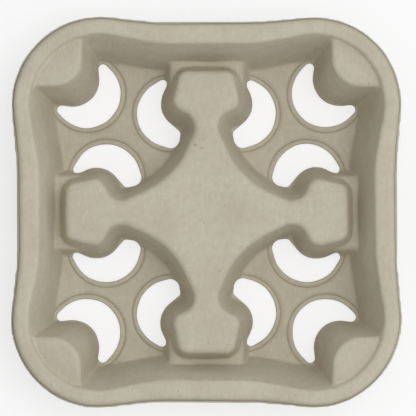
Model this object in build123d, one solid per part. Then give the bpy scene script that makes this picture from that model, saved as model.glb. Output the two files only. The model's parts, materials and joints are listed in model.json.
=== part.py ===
from build123d import *
import os
from math import acos, atan, atan2, cos, degrees, hypot, pi, sin, sqrt

# Four-cup carrier tray, moulded in one piece from paper pulp.
# The frame stands on the table, +Z up, with its origin under the middle of the tray.
# X and Y run square to the sides. All lengths are in millimetres.

# The sheet
wall = 2.2
height = 44.5

# Outer outline, at the free edge of the brim
width = 216.0
corner_radius = 48.8
waist_depth = 2.8
waist_run = 39.0
waist_slope_share = 1.35

# Flange, its down-turned skirt and the brim at the skirt's free edge
flange_width_at_corner = 9.8
flange_width_at_waist = 12.4
flange_overlap = 0.3
shoulder_radius = 3.3
skirt_height = 6.5
skirt_flare = 0.5
brim_width = 1.5
brim_edge = 0.6
brim_rise = 1.2

# Rim wall, from the flange down to the pocket floor
rim_run = 11.6

# Star in the middle, with its dished top
plateau_drop = 10.5
plateau_run = 8.0
plateau_edge_radius = 3.4
well_from_side = 53.6
dish_radius = 21.0
dish_depth = 1.6

# Necks from the star to the four pads
neck_half = 6.1
neck_flare = 0.6
neck_foot_round = 1.6
neck_straight = 3.5

# Pads, one towards each side
pad_end_from_side = 30.0
pad_length = 15.6
pad_half = 17.7
pad_round = 5.6
pad_end_half = 15.2
pad_end_round = 4.8

# Saddles between the pads and the rim, each with a dimple along its top
saddle_height = 17.5
saddle_beyond_pad = 1.0
saddle_edge_radius = 3.4
dimple_from_pad_end = 5.8
dimple_half_length = 19.0
dimple_half_width = 2.6
dimple_lift = 1.4

# Rounding where the walls meet the pocket floor
floor_radius = 2.4

# Corner lobes
lobe_drop = 2.5
lobe_top_from_side = 38.6
lobe_lean = 7.9
lobe_round = 15.0
lobe_groove_depth = 1.5
lobe_groove_inside = 1.4
lobe_crest_inside = 10.5
lobe_tip_drop = 1.5
lobe_edge_radius = 2.5

# Crescent slots
slot_web = 10.75
slot_tip_radius = 2.6
slot_tip_gap = 0.5
finger_ledge = 0.4
corner_slot_from_side = 39.8
pad_slot_behind_pad = 5.3
pad_slot_beside_neck = 4.4
pad_slot_star_tip_radius = 5.0
pad_slot_star_tip_bite = 1.4
pad_slot_heel_radius = 2.0
pad_slot_heel_gap = 1.6
pad_slot_heel_bite = 0.75

# Lips round the slots, set off by a fine groove
lip_width = 2.8
lip_groove_half = 1.2
lip_groove_depth = 0.6
lip_end_angle = 12.0

# Cutting overrun
overrun = 3.0

# Angles in degrees
QUARTER_TURN = 90.0
HALF_TURN = 180.0

# Places worked out from the sizes above
side = width / 2
rim_middle = side - corner_radius
plateau_height = height - plateau_drop
lobe_height = height - lobe_drop
pad_end = side - pad_end_from_side
pad_middle = pad_end - pad_length
plateau_slope = plateau_run / (plateau_height - wall)
rim_slope = rim_run / (height - wall)
lobe_slope = lobe_lean / (lobe_height - wall)
lobe_foot_side = side - lobe_top_from_side - lobe_lean


def turned(circle, quarter):
    """One circle of an outline, turned by a number of quarter turns about the middle."""
    x, y, r = circle
    for _ in range(quarter):
        x, y = -y, x
    return (x, y, r)


def ring(quarter_circles):
    """The circles of a whole outline from those of one quarter, counterclockwise."""
    return [turned(circle, quarter) for quarter in range(4) for circle in quarter_circles]


def inset(circles, distance):
    """An outline drawn inwards by a distance: bulges get smaller and hollows larger."""
    return [(x, y, r - distance) for x, y, r in circles]


def outline(circles, z):
    """A closed face at a height: arcs of the circles, joined by their tangents.

    A positive radius bulges outwards and a negative one is a hollow.
    """
    normals = []
    for (x1, y1, r1), (x2, y2, r2) in zip(circles, circles[1:] + circles[:1]):
        along = atan2(y2 - y1, x2 - x1)
        normals.append(along - acos((r1 - r2) / hypot(x2 - x1, y2 - y1)))
    edges = []
    for i, (x, y, r) in enumerate(circles):
        start, end = normals[i - 1], normals[i]
        turn = (end - start + pi) % (2 * pi) - pi
        if r > 0 and turn < 0:
            turn += 2 * pi
        points = [
            Vector(x + r * cos(a), y + r * sin(a), z)
            for a in (start, start + turn / 2, start + turn)
        ]
        edges.append(Edge.make_three_point_arc(*points))
    lines = [
        Edge.make_line(one @ 1, two @ 0)
        for one, two in zip(edges, edges[1:] + edges[:1])
    ]
    loop = [edge for pair in zip(edges, lines) for edge in pair]
    return Face(Wire(loop))


def drafted(top, z_top, slope, z_from, z_to):
    """A solid with evenly drafted walls, given its outline at one height.

    The outline spreads by the slope times the way down, or shrinks where the slope is negative.
    """
    face = outline(inset(top, slope * (z_from - z_top)), z_from)
    return Solid.extrude_taper(face, Vector(0, 0, z_to - z_from), degrees(atan(slope)))


def side_step(slope, down):
    """How far an outline moves sideways for the sheet to keep its thickness on a slope."""
    angle = atan(slope)
    return down * (1 - sin(angle)) / cos(angle)


def top_edges(solid):
    """The edges round the top face."""
    return solid.edges().group_by(Axis.Z)[-1]


def quarters(form):
    """Four copies of a form, one for each side or corner."""
    return [Rot(0, 0, QUARTER_TURN * quarter) * form for quarter in range(4)]


def rim_circles(inside, waist):
    """The rounded square with waisted sides that the rim follows, some way inside the brim.

    The straight between a corner and its waist slopes a little more than the line between their
    ends, and the waist's hollow is as wide as that leaves.
    """
    slope = waist_slope_share * atan2(waist, waist_run)
    both = (waist_run * sin(slope) - waist * cos(slope)) / (1 - cos(slope))
    bulge = corner_radius - inside
    hollow = both - bulge
    half_flat = rim_middle - waist_run
    out = rim_middle + bulge - waist + hollow
    return ring([
        (rim_middle, rim_middle, bulge),
        (half_flat, out, -hollow),
        (-half_flat, out, -hollow),
    ])


def opening_circles():
    """The inner edge of the flange."""
    waist = waist_depth + flange_width_at_waist - flange_width_at_corner
    return rim_circles(flange_width_at_corner, waist)


def cavity(down, z_to):
    """The whole hollow inside the rim wall, from a given depth under the sheet's face."""
    top = inset(opening_circles(), -side_step(rim_slope, down))
    return drafted(top, height - down, -rim_slope, wall - down, z_to)


def flange():
    """The flange with its skirt and brim, rounded over its shoulder and at its opening."""
    free_edge = height - skirt_height
    flare = skirt_flare / skirt_height
    edge = rim_circles(0, waist_depth)
    top = inset(edge, brim_width + skirt_flare)
    outside = drafted(top, height, flare, free_edge, height)
    outside = fillet(top_edges(outside), shoulder_radius)
    brim_top = free_edge + brim_edge + brim_rise
    brim = drafted(inset(edge, brim_width), brim_top, brim_width / brim_rise, free_edge + brim_edge, brim_top)
    brim += Solid.extrude(outline(edge, free_edge), Vector(0, 0, brim_edge))
    under = drafted(inset(top, wall), height, flare, free_edge - overrun, height - wall)
    under = fillet(top_edges(under), shoulder_radius - wall)
    plate = outside + brim - under - cavity(0, height + overrun)
    flat = plate.faces().sort_by(Axis.Z)[-1]
    return fillet(flat.inner_wires()[0].edges(), wall)


def star_circles():
    """The top outline of the star with its four necks and pads."""
    well = side - well_from_side
    neck_round = neck_foot_round + plateau_run
    neck_out = neck_half + neck_round
    pad_out = pad_half - pad_round
    between = sqrt((neck_round + pad_round) ** 2 + neck_straight ** 2 - (neck_out - pad_out) ** 2)
    half = [
        (neck_out, pad_middle - between, -neck_round),
        (pad_out, pad_middle, pad_round),
        (pad_end_half - pad_end_round, pad_end - pad_end_round, pad_end_round),
    ]
    other = [(-x, y, r) for x, y, r in reversed(half)]
    return ring([(well, well, neck_half + neck_flare - well)] + half + other)


def dish(down):
    """The shallow bowl in the middle of the star, as a solid to take away."""
    sphere_radius = (dish_radius ** 2 + dish_depth ** 2) / (2 * dish_depth)
    return Pos(0, 0, plateau_height - down - dish_depth + sphere_radius) * Sphere(sphere_radius)


def star(down):
    """The star, necks and pads: one raised form with a shallow dish in its middle."""
    top = inset(star_circles(), side_step(plateau_slope, down))
    z_top = plateau_height - down
    form = drafted(top, z_top, plateau_slope, wall - down - overrun, z_top)
    form = fillet(top_edges(form), plateau_edge_radius - down)
    return form - dish(down)


def saddle(down):
    """A low bridge from under one pad to the rim wall, with a dimple along its top."""
    z_low = wall - down - overrun
    z_top = saddle_height - down
    half_top = pad_end_half + saddle_beyond_pad - side_step(plateau_slope, down)
    half_top += plateau_slope * (plateau_height - saddle_height)
    half_low = half_top + plateau_slope * (z_top - z_low)
    section = make_face(Polyline((-half_low, z_low), (half_low, z_low), (half_top, z_top),
                                 (-half_top, z_top), close=True))
    section = fillet(section.vertices().group_by(Axis.Y)[-1], saddle_edge_radius - down)
    form = extrude(Plane.XZ.offset(pad_middle) * section, side - pad_middle)
    return form - dimple(down)


def dimple(down):
    """A long spindle over a saddle, whose lower side is the dimple."""
    half_width = dimple_half_width + down
    half_length = dimple_half_length + down
    bow = Polyline((-half_length, 0), (half_length, 0)) + ThreePointArc(
        (half_length, 0), (0, half_width), (-half_length, 0))
    spindle = revolve(make_face(bow), Axis.X)
    return Pos(0, -pad_end - dimple_from_pad_end, saddle_height + dimple_lift) * spindle


def lobe(down):
    """One corner lobe, leaning back, crowned round the same centre as the corner of the rim."""
    shrink = side_step(lobe_slope, down)
    r = lobe_round - shrink
    z_low = wall - down - overrun
    near = lobe_foot_side + lobe_round - lobe_slope * overrun
    far = side - lobe_round
    circles = [(near, near, r), (far, near, r), (far, far, r), (near, far, r)]
    rise = height - z_low
    form = Solid.extrude(outline(circles, z_low), Vector(lobe_slope * rise, lobe_slope * rise, rise))
    form = form & crown(down)
    high = lobe_height - down - lobe_groove_depth - lobe_tip_drop
    edges = [edge for edge in form.edges() if min((edge @ share).Z for share in (0, 0.5, 1)) > high
             and max((edge @ 0.5).X, (edge @ 0.5).Y) < side]
    return fillet(edges, lobe_edge_radius - down)


def crown(down):
    """The space under a lobe's curved top: a groove by the rim, a crest, and a fall to the tip."""
    rim = corner_radius - flange_width_at_corner
    z = lobe_height - down
    groove = (rim - lobe_groove_inside, z - lobe_groove_depth)
    crest = (rim - lobe_crest_inside, z)
    tip = (0, z - lobe_tip_drop)
    reach = 2 * corner_radius
    top = Spline([(reach, groove[1]), groove, crest, tip])
    below = Polyline([tip, (0, -height), (reach, -height), (reach, groove[1])])
    profile = Plane.XZ * make_face(top + below)
    return Pos(rim_middle, rim_middle, 0) * revolve(profile, Axis.Z)


def space(down, z_to):
    """All the space over the sheet, from a given depth under its face."""
    forms = [star(down)] + quarters(saddle(down)) + quarters(lobe(down))
    hollow = cavity(down, z_to) - forms
    floor = hollow.faces().sort_by(Axis.Z)[:4]
    return fillet([edge for face in floor for edge in face.edges()], floor_radius)


def slot_places():
    """Centre of a corner slot, centre of the pad slot beside it, and the radius that both have."""
    corner = side - corner_slot_from_side
    out = pad_middle - pad_slot_behind_pad
    beside = neck_half + neck_foot_round + plateau_run + pad_slot_beside_neck
    radius = (hypot(corner - beside, corner - out) - slot_web) / 2
    return (corner, corner, radius), (beside, out, radius)


def nestled(radius, one, away_one, two, away_two):
    """A circle at given distances from the centres of two others, left of the way from one to two."""
    x, y = two[0] - one[0], two[1] - one[1]
    apart = hypot(x, y)
    along = (apart ** 2 + away_one ** 2 - away_two ** 2) / (2 * apart)
    across = sqrt(away_one ** 2 - along ** 2)
    return (one[0] + (along * x - across * y) / apart, one[1] + (along * y + across * x) / apart, radius)


def corner_slot():
    """The crescent at the foot of a corner lobe: its circle, a tip, the lobe's foot and the other tip."""
    slot, _ = slot_places()
    centre = lobe_foot_side + lobe_round
    foot = (centre, centre, -lobe_round - finger_ledge)
    inside = slot[2] - slot_tip_radius + slot_tip_gap
    outside = slot_tip_radius + slot_tip_gap - foot[2]
    tip = nestled(slot_tip_radius, slot, inside, foot, outside)
    return [slot, (tip[1], tip[0], slot_tip_radius), foot, tip]


def pad_slot():
    """The crescent at a pad's flank: its circle, the rim tip, the pad's foot, the heel and the star tip."""
    _, slot = slot_places()
    foot = (pad_half - pad_round, pad_middle, -pad_round - plateau_run - finger_ledge)
    star_foot = inset(star_circles()[:1], -plateau_run)[0]
    inside = slot[2] - slot_tip_radius + slot_tip_gap
    outside = slot_tip_radius + slot_tip_gap - foot[2]
    rim_tip = nestled(slot_tip_radius, foot, outside, slot, inside)
    inside = slot[2] - pad_slot_star_tip_radius + slot_tip_gap
    bite = pad_slot_star_tip_bite - pad_slot_star_tip_radius - star_foot[2]
    star_tip = nestled(pad_slot_star_tip_radius, star_foot, bite, slot, inside)
    outside = pad_slot_heel_radius + pad_slot_heel_gap - foot[2]
    bite = pad_slot_heel_bite - pad_slot_heel_radius - star_foot[2]
    heel = nestled(pad_slot_heel_radius, star_foot, bite, foot, outside)
    return [slot, rim_tip, foot, heel, star_tip]


def in_diagonal(circles):
    """The same circles seen in the diagonal, in reverse order to stay counterclockwise."""
    return [(y, x, r) for x, y, r in reversed(circles)]


def bearing(circle, slot):
    """The direction in degrees in which a slot's centre sees a circle's centre."""
    return degrees(atan2(circle[1] - slot[1], circle[0] - slot[0]))


def lip_grooves():
    """The fine grooves that set off the lips round the slots, as solids to take away."""
    corner, lower, _, upper = corner_slot()
    pad, rim_tip, _, _, star_tip = pad_slot()
    radius = corner[2] + lip_width
    notch = [(-lip_groove_half, 0), (0, -lip_groove_depth), (lip_groove_half, 0), (0, lip_groove_depth)]
    profile = Pos(radius, 0, wall) * (Plane.XZ * make_face(Polyline(notch, close=True)))
    sweep = bearing(rim_tip, pad) - bearing(star_tip, pad)
    round_corner = 2 * HALF_TURN + bearing(lower, corner) - bearing(upper, corner)
    places = [
        (corner, bearing(upper, corner), round_corner),
        (pad, bearing(star_tip, pad), sweep),
        (in_diagonal([pad])[0], QUARTER_TURN - bearing(rim_tip, pad), sweep),
    ]
    grooves = []
    for slot, start, turn in places:
        groove = revolve(profile, Axis.Z, revolution_arc=turn - 2 * lip_end_angle)
        grooves += quarters(Pos(slot[0], slot[1], 0) * Rot(0, 0, start + lip_end_angle) * groove)
    return grooves


def slots():
    """All twelve crescents, as solids to take away."""
    cuts = []
    for circles in (corner_slot(), pad_slot(), in_diagonal(pad_slot())):
        face = outline(circles, -overrun)
        cuts += quarters(Solid.extrude(face, Vector(0, 0, wall + floor_radius + 2 * overrun)))
    return cuts


def tray():
    """The whole moulded sheet."""
    above = space(0, height + overrun) + lip_grooves()
    sheet = space(wall, height - wall + flange_overlap) - above
    return flange() + sheet - slots()


os.makedirs("parts", exist_ok=True)
part = tray()
export_step(part, "parts/carrier_tray.step")
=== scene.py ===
"""Dresses the four-cup carrier tray, one sheet of moulded paper pulp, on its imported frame.

The frame gives the tray's solid. The sheet that shows is a copy of it with the small unevenness of
wet pulp dried on a mesh mould, and a procedural pulp finish. A pale floor, one soft lamp, soft
light from all round and a camera high over the tray make up the studio. All lengths are in metres.
"""

import json
import logging
from dataclasses import dataclass
from enum import IntEnum
from math import exp, hypot, radians
from typing import Any

import bmesh
import bpy
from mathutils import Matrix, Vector, noise

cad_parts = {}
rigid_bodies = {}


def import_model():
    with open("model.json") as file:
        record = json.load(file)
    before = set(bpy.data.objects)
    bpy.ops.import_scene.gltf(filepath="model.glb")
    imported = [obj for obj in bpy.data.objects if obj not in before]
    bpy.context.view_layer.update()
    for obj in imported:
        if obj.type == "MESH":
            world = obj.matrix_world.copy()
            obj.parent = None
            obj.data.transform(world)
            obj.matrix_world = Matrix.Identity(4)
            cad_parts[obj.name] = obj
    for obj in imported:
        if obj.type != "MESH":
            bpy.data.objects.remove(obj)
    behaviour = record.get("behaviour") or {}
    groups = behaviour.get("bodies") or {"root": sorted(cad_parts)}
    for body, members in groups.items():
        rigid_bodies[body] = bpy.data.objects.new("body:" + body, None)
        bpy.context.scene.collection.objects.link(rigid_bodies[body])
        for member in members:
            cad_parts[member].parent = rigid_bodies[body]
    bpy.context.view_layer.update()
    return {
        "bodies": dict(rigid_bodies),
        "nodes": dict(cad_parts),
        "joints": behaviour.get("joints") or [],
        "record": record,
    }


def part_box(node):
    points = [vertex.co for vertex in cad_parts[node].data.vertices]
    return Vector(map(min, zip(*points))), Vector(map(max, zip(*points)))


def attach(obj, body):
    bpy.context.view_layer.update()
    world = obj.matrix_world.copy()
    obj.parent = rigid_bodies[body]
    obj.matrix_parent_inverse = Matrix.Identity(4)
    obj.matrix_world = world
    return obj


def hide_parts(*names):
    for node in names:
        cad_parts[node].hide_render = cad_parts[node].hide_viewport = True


MM = 0.001
IMAGE_SIDE = 416

log = logging.getLogger("carrier_tray")


class MixSocket(IntEnum):
    """The colour sockets of Blender's Mix node, which share their names with its other sockets."""

    SHARE = 0
    UNDER = 6
    OVER = 7
    RESULT = 2


def linear(hex_colour: str) -> tuple[float, float, float, float]:
    """Turns an sRGB hex colour into the linear values that the nodes take.

    Args:
        hex_colour: Six hexadecimal digits, with or without a leading #.

    Returns:
        Red, green, blue and an alpha of 1.
    """
    digits = hex_colour.lstrip("#")
    channels = []
    for start in (0, 2, 4):
        value = int(digits[start:start + 2], 16) / 255
        # the curve that the sRGB standard gives
        channels.append(value / 12.92 if value <= 0.04045 else ((value + 0.055) / 1.055) ** 2.4)
    return (*channels, 1.0)


def add_node(
    tree: bpy.types.NodeTree,
    kind: str,
    inputs: dict[int | str, Any] | None = None,
    **settings: Any,
) -> bpy.types.Node:
    """Adds one node, sets its properties and fills or links its inputs.

    Args:
        tree: The node tree that takes the node.
        kind: The node's type name.
        inputs: Value or output socket for each input, by index or name.
        settings: Values for the node's own properties.

    Returns:
        The new node.
    """
    node = tree.nodes.new(kind)
    for name, value in settings.items():
        setattr(node, name, value)
    for key, value in (inputs or {}).items():
        if isinstance(value, bpy.types.NodeSocket):
            tree.links.new(value, node.inputs[key])
        else:
            node.inputs[key].default_value = value
    return node


def new_material(name: str) -> bpy.types.Material:
    """Makes an empty node material with that name."""
    material = bpy.data.materials.new(name)
    material.use_nodes = True
    material.node_tree.nodes.clear()
    return material


@dataclass(frozen=True)
class LipRings:
    """The rings round the twelve slots where a groove sets off the lip.

    A corner's ring lies as far from one middle line of the tray as from the other. The ring at a
    pad lies out along one of them and a little beside it.
    """

    radius: float = 22.1 * MM
    corner: float = 68.2 * MM
    out: float = 57.1 * MM
    beside: float = 20.1 * MM

    def centres(self) -> list[tuple[float, float]]:
        """The three ring centres in the quarter where x and y are positive."""
        return [(self.corner, self.corner), (self.out, self.beside), (self.beside, self.out)]

    def distance(self, place: Vector) -> float:
        """How far a place is from the nearest ring, seen from above."""
        across, along = abs(place.x), abs(place.y)
        return min(abs(hypot(across - x, along - y) - self.radius) for x, y in self.centres())


@dataclass(frozen=True)
class Mottle:
    """A second colour that gathers in patches of one size.

    It shows first where the noise passes starts, and reaches its greatest share at full.
    """

    colour: str
    size: float
    detail: float
    roughness: float
    starts: float
    full: float
    most: float
    distortion: float = 0.0

    def share(
        self,
        tree: bpy.types.NodeTree,
        place: bpy.types.NodeSocket,
    ) -> bpy.types.NodeSocket:
        """Works out how much of the colour shows.

        Args:
            tree: The material's nodes.
            place: The coordinates that the patches follow.

        Returns:
            The share of the colour, 0 to 1.
        """
        patches = add_node(tree, "ShaderNodeTexNoise", {
            "Vector": place, "Scale": 1 / self.size, "Detail": self.detail,
            "Roughness": self.roughness, "Distortion": self.distortion,
        })
        return add_node(tree, "ShaderNodeMapRange", {
            "Value": patches.outputs[0], "From Min": self.starts, "From Max": self.full,
            "To Min": 0.0, "To Max": self.most,
        }).outputs[0]


@dataclass(frozen=True)
class Felt:
    """The relief that fibres of one size leave on the dried sheet."""

    size: float
    detail: float
    strength: float
    height: float
    roughness: float = 0.7


@dataclass(frozen=True)
class MouldedPulp:
    """Recycled-paper pulp sucked onto a wire mesh mould and oven dried.

    It gives the eye a matt, warm grey sheet with soft clouds of denser fibre, a felted grain, stray
    dark and pale fibres, painted shade in the slots' grooves and the brim's fold, and no gloss at
    all.
    """

    name: str = "moulded_recycled_pulp"
    base: str = "#CEC7B4"
    roughness: float = 0.95
    ior: float = 1.45
    specular: float = 0.25
    clouds: Mottle = Mottle(
        "#BFB7A2", size=26 * MM, detail=3.0, roughness=0.6, starts=0.38, full=0.66, most=0.6,
    )
    flocs: Mottle = Mottle(
        "#BFB7A2", size=3.4 * MM, detail=4.0, roughness=0.65, starts=0.45, full=0.72, most=0.6,
    )
    # the pale fibres are drawn several times as wide as the real 0.1 mm ones, so that they show
    fibres: Mottle = Mottle(
        "#DED8C6", size=1.1 * MM, detail=2.0, roughness=0.7, starts=0.56, full=0.78, most=0.55,
        distortion=0.8,
    )
    fibre_turn: float = radians(31)
    fibre_stretch: tuple[float, float, float] = (1.0, 0.22, 0.6)
    fleck_colour: str = "#7C735C"
    fleck_spacing: float = 9.0 * MM
    fleck_radius: float = 0.26 * MM
    fleck_spread: float = 2.2
    fleck_most: float = 0.5
    shade: str = "#7C7359"
    lips: LipRings = LipRings()
    lip_line: float = 0.85 * MM
    lip_most: float = 0.6
    lip_top: float = 6 * MM
    fold_height: float = 39.9 * MM
    fold_line: float = 0.55 * MM
    fold_most: float = 1.0
    outward_starts: float = 20 * MM
    outward_full: float = 60 * MM
    lumps: Felt = Felt(size=3.4 * MM, detail=5.0, strength=0.8, height=0.4 * MM)
    grain: Felt = Felt(size=1.1 * MM, detail=3.0, strength=0.5, height=0.16 * MM)

    def build(self) -> bpy.types.Material:
        """Makes the material.

        Returns:
            The finished material.
        """
        material = new_material(self.name)
        tree = material.node_tree
        place = add_node(tree, "ShaderNodeTexCoord").outputs["Object"]
        surface = add_node(tree, "ShaderNodeBsdfPrincipled", {
            "Base Color": self._colour(tree, place),
            "Roughness": self.roughness,
            "IOR": self.ior,
            "Specular IOR Level": self.specular,
            "Normal": self._relief(tree, place),
        })
        add_node(tree, "ShaderNodeOutputMaterial", {"Surface": surface.outputs[0]})
        return material

    def _colour(
        self,
        tree: bpy.types.NodeTree,
        place: bpy.types.NodeSocket,
    ) -> bpy.types.NodeSocket:
        """The sheet's colour: clouds, flocs, pale fibres and dark flecks, then painted shade in the
        grooves and the fold.

        Args:
            tree: The material's nodes.
            place: Object coordinates.

        Returns:
            The colour.
        """
        strands = add_node(tree, "ShaderNodeMapping", {
            "Vector": place, "Rotation": (0.0, 0.0, self.fibre_turn), "Scale": self.fibre_stretch,
        }).outputs[0]
        layers = (
            (self.clouds.colour, self.clouds.share(tree, place)),
            (self.flocs.colour, self.flocs.share(tree, place)),
            (self.fibres.colour, self.fibres.share(tree, strands)),
            (self.fleck_colour, self._fleck_share(tree, place)),
            # painted shade: the dark lines in the slots' grooves and in the fold above the brim
            (self.shade, self._lip_shade(tree, place)),
            (self.shade, self._fold_shade(tree, place)),
        )
        colour: Any = linear(self.base)
        for over, share in layers:
            mix = add_node(tree, "ShaderNodeMix", {
                MixSocket.SHARE: share, MixSocket.UNDER: colour, MixSocket.OVER: linear(over),
            }, data_type="RGBA")
            colour = mix.outputs[MixSocket.RESULT]
        return colour

    def _fleck_share(
        self,
        tree: bpy.types.NodeTree,
        place: bpy.types.NodeSocket,
    ) -> bpy.types.NodeSocket:
        """Small dark flecks, one in each cell of the sheet, with a soft edge.

        Args:
            tree: The material's nodes.
            place: Object coordinates.

        Returns:
            The share of the flecks' colour, 0 to 1.
        """
        cells = add_node(tree, "ShaderNodeTexVoronoi", {
            "Vector": place, "Scale": 1 / self.fleck_spacing, "Randomness": 1.0,
        })
        core = self.fleck_radius / self.fleck_spacing
        return add_node(tree, "ShaderNodeMapRange", {
            "Value": cells.outputs["Distance"], "From Min": core,
            "From Max": self.fleck_spread * core, "To Min": self.fleck_most, "To Max": 0.0,
        }).outputs[0]

    def _lip_shade(
        self,
        tree: bpy.types.NodeTree,
        place: bpy.types.NodeSocket,
    ) -> bpy.types.NodeSocket:
        """Painted shade: the dark line in the grooves round the slots, where shade falls.

        Args:
            tree: The material's nodes.
            place: Object coordinates.

        Returns:
            The share of shade, 0 to 1.
        """
        quarter = add_node(tree, "ShaderNodeVectorMath", {0: place}, operation="ABSOLUTE")
        level = add_node(tree, "ShaderNodeVectorMath", {0: quarter.outputs[0], 1: (1.0, 1.0, 0.0)},
                         operation="MULTIPLY")
        nearest: Any = 1.0
        for x, y in self.lips.centres():
            away = add_node(tree, "ShaderNodeVectorMath", {0: level.outputs[0], 1: (x, y, 0.0)},
                            operation="DISTANCE")
            off = add_node(tree, "ShaderNodeMath", {0: away.outputs["Value"], 1: self.lips.radius},
                           operation="SUBTRACT")
            size = add_node(tree, "ShaderNodeMath", {0: off.outputs[0]}, operation="ABSOLUTE")
            nearest = add_node(tree, "ShaderNodeMath", {0: size.outputs[0], 1: nearest},
                               operation="MINIMUM").outputs[0]
        line = add_node(tree, "ShaderNodeMapRange", {
            "Value": nearest, "From Min": 0.0, "From Max": self.lip_line,
            "To Min": self.lip_most, "To Max": 0.0,
        }, interpolation_type="SMOOTHSTEP")
        low = add_node(tree, "ShaderNodeMapRange", {
            "Value": add_node(tree, "ShaderNodeSeparateXYZ", {0: place}).outputs["Z"],
            "From Min": 0.0, "From Max": self.lip_top, "To Min": 1.0, "To Max": 0.0,
        }, interpolation_type="SMOOTHSTEP")
        return add_node(tree, "ShaderNodeMath", {0: line.outputs[0], 1: low.outputs[0]},
                        operation="MULTIPLY").outputs[0]

    def _fold_shade(
        self,
        tree: bpy.types.NodeTree,
        place: bpy.types.NodeSocket,
    ) -> bpy.types.NodeSocket:
        """Painted shade: the dark line in the fold between the skirt and the brim, all round the
        outside.

        Args:
            tree: The material's nodes.
            place: Object coordinates.

        Returns:
            The share of shade, 0 to 1.
        """
        height = add_node(tree, "ShaderNodeSeparateXYZ", {0: place}).outputs["Z"]
        off = add_node(tree, "ShaderNodeMath", {0: height, 1: self.fold_height},
                       operation="SUBTRACT")
        size = add_node(tree, "ShaderNodeMath", {0: off.outputs[0]}, operation="ABSOLUTE")
        line = add_node(tree, "ShaderNodeMapRange", {
            "Value": size.outputs[0], "From Min": 0.0, "From Max": self.fold_line,
            "To Min": self.fold_most, "To Max": 0.0,
        }, interpolation_type="SMOOTHSTEP")
        # facing times place is large only on the outside, where the face looks away from the middle
        facing = add_node(tree, "ShaderNodeNewGeometry").outputs["Normal"]
        outward = add_node(tree, "ShaderNodeVectorMath", {0: facing, 1: place},
                           operation="DOT_PRODUCT")
        outside = add_node(tree, "ShaderNodeMapRange", {
            "Value": outward.outputs["Value"], "From Min": self.outward_starts,
            "From Max": self.outward_full,
        })
        return add_node(tree, "ShaderNodeMath", {0: line.outputs[0], 1: outside.outputs[0]},
                        operation="MULTIPLY").outputs[0]

    def _relief(
        self,
        tree: bpy.types.NodeTree,
        place: bpy.types.NodeSocket,
    ) -> bpy.types.NodeSocket:
        """The felted relief of the dried sheet: its lumps, and the grain on them.

        Args:
            tree: The material's nodes.
            place: Object coordinates.

        Returns:
            The normal.
        """
        under: dict[str, bpy.types.NodeSocket] = {}
        for felt in (self.lumps, self.grain):
            pattern = add_node(tree, "ShaderNodeTexNoise", {
                "Vector": place, "Scale": 1 / felt.size, "Detail": felt.detail,
                "Roughness": felt.roughness,
            })
            bump = add_node(tree, "ShaderNodeBump", {
                "Strength": felt.strength, "Distance": felt.height, "Height": pattern.outputs[0],
                **under,
            })
            under = {"Normal": bump.outputs[0]}
        return under["Normal"]


@dataclass(frozen=True)
class PaleFloor:
    """A matt white painted tabletop.

    It gives the eye a plain white ground round the tray that keeps the tray's soft shadow.
    """

    name: str = "matt_white_tabletop"
    colour: str = "#A3A3A3"
    lift: float = 0.66

    def build(self) -> bpy.types.Material:
        """Makes the material.

        Returns:
            The finished material.
        """
        material = new_material(self.name)
        tree = material.node_tree
        paint = add_node(tree, "ShaderNodeBsdfDiffuse", {"Color": linear(self.colour)})
        seen = add_node(tree, "ShaderNodeLightPath").outputs["Is Camera Ray"]
        share = add_node(tree, "ShaderNodeMath", {0: seen, 1: self.lift}, operation="MULTIPLY")
        glow = add_node(tree, "ShaderNodeEmission", {"Strength": share.outputs[0]})
        both = add_node(tree, "ShaderNodeAddShader", {0: paint.outputs[0], 1: glow.outputs[0]})
        add_node(tree, "ShaderNodeOutputMaterial", {"Surface": both.outputs[0]})
        return material


def applied(carrier: bpy.types.Object) -> bpy.types.Mesh:
    """Applies an object's modifiers and removes the object.

    Args:
        carrier: The object that carries the mesh and its modifiers, in no collection yet.

    Returns:
        A new mesh with the modifiers applied.
    """
    bpy.context.scene.collection.objects.link(carrier)
    bpy.context.view_layer.update()
    graph = bpy.context.evaluated_depsgraph_get()
    result = bpy.data.meshes.new_from_object(carrier.evaluated_get(graph))
    bpy.data.objects.remove(carrier)
    return result


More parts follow.
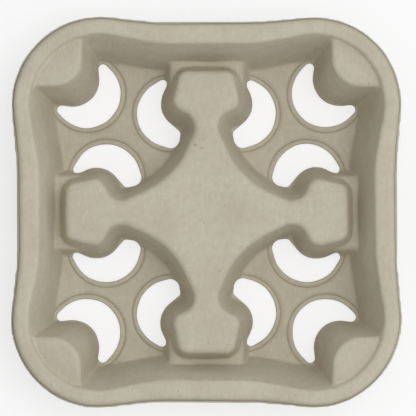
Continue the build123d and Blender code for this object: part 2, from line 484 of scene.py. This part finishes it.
@dataclass
class TraySheet:
    """The tray itself: one sheet of pulp with a star, pads, lobes, slots and a rolled rim."""

    node: str = "carrier_tray"
    name: str = "carrier_tray_sheet"
    slot: str = "pulp"
    merge_within: float = 0.002 * MM
    voxel: float = 0.75 * MM
    smoothing_steps: int = 2
    smoothing_share: float = 0.5
    kept_share: float = 0.27
    lips: LipRings = LipRings()
    groove_depth: float = 0.75 * MM
    groove_half: float = 0.9 * MM
    floor_top: float = 3.2 * MM
    facing_up: float = 0.7
    wave_size: float = 38 * MM
    wave_height: float = 0.55 * MM
    lump_size: float = 8 * MM
    lump_height: float = 0.22 * MM
    seed: int = 4

    def build(self, frame: dict[str, Any], finish: MouldedPulp) -> bpy.types.Object:
        """Makes the sheet that shows.

        Args:
            finish: The pulp finish.

        Returns:
            The finished piece.
        """
        mesh = self._even(self._copy(frame["nodes"][self.node]))
        self._groove(mesh)
        mesh = self._fewer(mesh)
        self._wave(mesh)
        mesh.materials.clear()
        mesh.materials.append(finish.build())
        sheet = bpy.data.objects.new(self.name, mesh)
        bpy.context.scene.collection.objects.link(sheet)
        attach(sheet, "root")
        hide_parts(self.node)
        return sheet

    def _copy(self, solid: bpy.types.Object) -> bpy.types.Mesh:
        """Copies the solid's mesh and merges its loose triangles.

        Args:
            solid: The frame's own object, left as it is.

        Returns:
            The merged copy.
        """
        shell = bmesh.new()
        shell.from_mesh(solid.data)
        bmesh.ops.remove_doubles(shell, verts=shell.verts, dist=self.merge_within)
        mesh = bpy.data.meshes.new(self.name)
        shell.to_mesh(mesh)
        shell.free()
        return mesh

    def _even(self, mesh: bpy.types.Mesh) -> bpy.types.Mesh:
        """Makes the faces even and rounds the folds, as wet pulp on a mesh mould rounds them.

        Args:
            mesh: The merged copy.

        Returns:
            The evened mesh.
        """
        carrier = bpy.data.objects.new("mesh_carrier", mesh)
        even = carrier.modifiers.new("even_faces", "REMESH")
        even.mode = "VOXEL"
        even.voxel_size = self.voxel
        soft = carrier.modifiers.new("soft_folds", "SMOOTH")
        soft.factor = self.smoothing_share
        soft.iterations = self.smoothing_steps
        return applied(carrier)

    def _groove(self, mesh: bpy.types.Mesh) -> None:
        """Presses the groove round each slot's lip clear again, where the even faces blur it.

        Args:
            mesh: The sheet's mesh, changed in place.
        """
        shell = bmesh.new()
        shell.from_mesh(mesh)
        shell.normal_update()
        for vert in shell.verts:
            if vert.co.z < self.floor_top and vert.normal.z > self.facing_up:
                off = self.lips.distance(vert.co) / self.groove_half
                vert.co.z -= self.groove_depth * exp(-off * off)
        shell.to_mesh(mesh)
        shell.free()

    def _fewer(self, mesh: bpy.types.Mesh) -> bpy.types.Mesh:
        """Thins the faces where the sheet is flat.

        Args:
            mesh: The evened mesh.

        Returns:
            The thinned mesh.
        """
        carrier = bpy.data.objects.new("mesh_carrier", mesh)
        carrier.modifiers.new("fewer_faces", "DECIMATE").ratio = self.kept_share
        return applied(carrier)

    def _wave(self, mesh: bpy.types.Mesh) -> None:
        """Gives the sheet the unevenness of dried pulp, inside the solid's own box.

        Args:
            mesh: The sheet's mesh, changed in place.
        """
        low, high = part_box(self.node)
        # unseeded, the waves would differ from run to run
        noise.seed_set(self.seed)
        shell = bmesh.new()
        shell.from_mesh(mesh)
        shell.normal_update()
        for vert in shell.verts:
            wave = noise.noise_vector(vert.co / self.wave_size)
            lump = noise.noise(vert.co / self.lump_size)
            vert.co += wave * self.wave_height + vert.normal * lump * self.lump_height
            for axis in range(3):
                vert.co[axis] = min(max(vert.co[axis], low[axis]), high[axis])
        shell.to_mesh(mesh)
        shell.free()
        mesh.shade_smooth()


@dataclass
class Studio:
    """The floor, the lamp, the world and the camera.

    The sensor is in millimetres, as Blender takes it, and the elevation in degrees.
    """

    floor_side: float = 6.0
    lamp_side: float = 1.2
    lamp_power: float = 13.0
    lamp_place: tuple[float, float, float] = (0.45, 0.10, 1.8)
    world_strength: float = 0.96
    world_tilt: tuple[float, float, float] = (0.18, 0.02, -0.48)
    camera_distance: float = 1100 * MM
    camera_elevation: float = 88.8
    clip_start: float = 10 * MM
    sensor: float = 36.0
    pixel_size: float = 0.5493 * MM
    rim_height: float = 44.5 * MM
    centre_pixel: tuple[float, float] = (206.5, 211.6)

    def build(self) -> None:
        """Makes everything around the tray."""
        self._floor()
        self._lamp()
        self._world()
        self._camera()

    def _floor(self) -> None:
        """Lays the plain pale floor."""
        shape = bmesh.new()
        bmesh.ops.create_grid(shape, x_segments=1, y_segments=1, size=self.floor_side / 2)
        mesh = bpy.data.meshes.new("floor")
        shape.to_mesh(mesh)
        shape.free()
        mesh.materials.append(PaleFloor().build())
        floor = bpy.data.objects.new("floor", mesh)
        bpy.context.scene.collection.objects.link(floor)

    def _lamp(self) -> None:
        """Hangs one large soft lamp high over the tray, to the right and a little behind."""
        data = bpy.data.lights.new("soft_box", "AREA")
        data.shape = "SQUARE"
        data.size = self.lamp_side
        data.energy = self.lamp_power
        lamp = bpy.data.objects.new("soft_box", data)
        lamp.location = self.lamp_place
        lamp.rotation_euler = Vector(self.lamp_place).to_track_quat("Z", "Y").to_euler()
        bpy.context.scene.collection.objects.link(lamp)

    def _world(self) -> None:
        """Lights from all round, strongest low and to the right; the camera sees white."""
        world = bpy.data.worlds.new("studio")
        bpy.context.scene.world = world
        world.use_nodes = True
        tree = world.node_tree
        tree.nodes.clear()
        seen = add_node(tree, "ShaderNodeLightPath").outputs["Is Camera Ray"]
        towards = add_node(tree, "ShaderNodeTexCoord").outputs["Generated"]
        tilt = add_node(tree, "ShaderNodeVectorMath", {0: towards, 1: self.world_tilt},
                        operation="DOT_PRODUCT")
        soft = add_node(tree, "ShaderNodeMath", {
            0: tilt.outputs["Value"], 1: self.world_strength,
        }, operation="ADD")
        strength = add_node(tree, "ShaderNodeMapRange", {
            "Value": seen, "To Min": soft.outputs[0], "To Max": 1.0,
        })
        sky = add_node(tree, "ShaderNodeBackground", {"Strength": strength.outputs[0]})
        add_node(tree, "ShaderNodeOutputWorld", {"Surface": sky.outputs[0]})

    def _camera(self) -> None:
        """Sets a long lens almost straight above the tray."""
        data = bpy.data.cameras.new("camera")
        data.sensor_width = self.sensor
        data.lens = self.sensor * self.camera_distance / (self.pixel_size * IMAGE_SIDE)
        data.shift_x = (IMAGE_SIDE / 2 - self.centre_pixel[0]) / IMAGE_SIDE
        data.shift_y = (self.centre_pixel[1] - IMAGE_SIDE / 2) / IMAGE_SIDE
        data.clip_start = self.clip_start
        camera = bpy.data.objects.new("camera", data)
        camera.rotation_euler = (radians(90 - self.camera_elevation), 0.0, 0.0)
        back = camera.rotation_euler.to_matrix() @ Vector((0.0, 0.0, self.camera_distance))
        camera.location = Vector((0.0, 0.0, self.rim_height)) + back
        bpy.context.scene.collection.objects.link(camera)
        bpy.context.scene.camera = camera


def main() -> None:
    """Builds the tray and its studio."""
    logging.basicConfig(level=logging.INFO, format="%(message)s")
    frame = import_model()
    sheet = TraySheet().build(frame, MouldedPulp())
    log.info("%s: %d faces", sheet.name, len(sheet.data.polygons))
    Studio().build()
    log.info("studio: floor, lamp, world and camera")
    bpy.context.scene.view_settings.view_transform = "Standard"


if __name__ == "__main__":
    main()
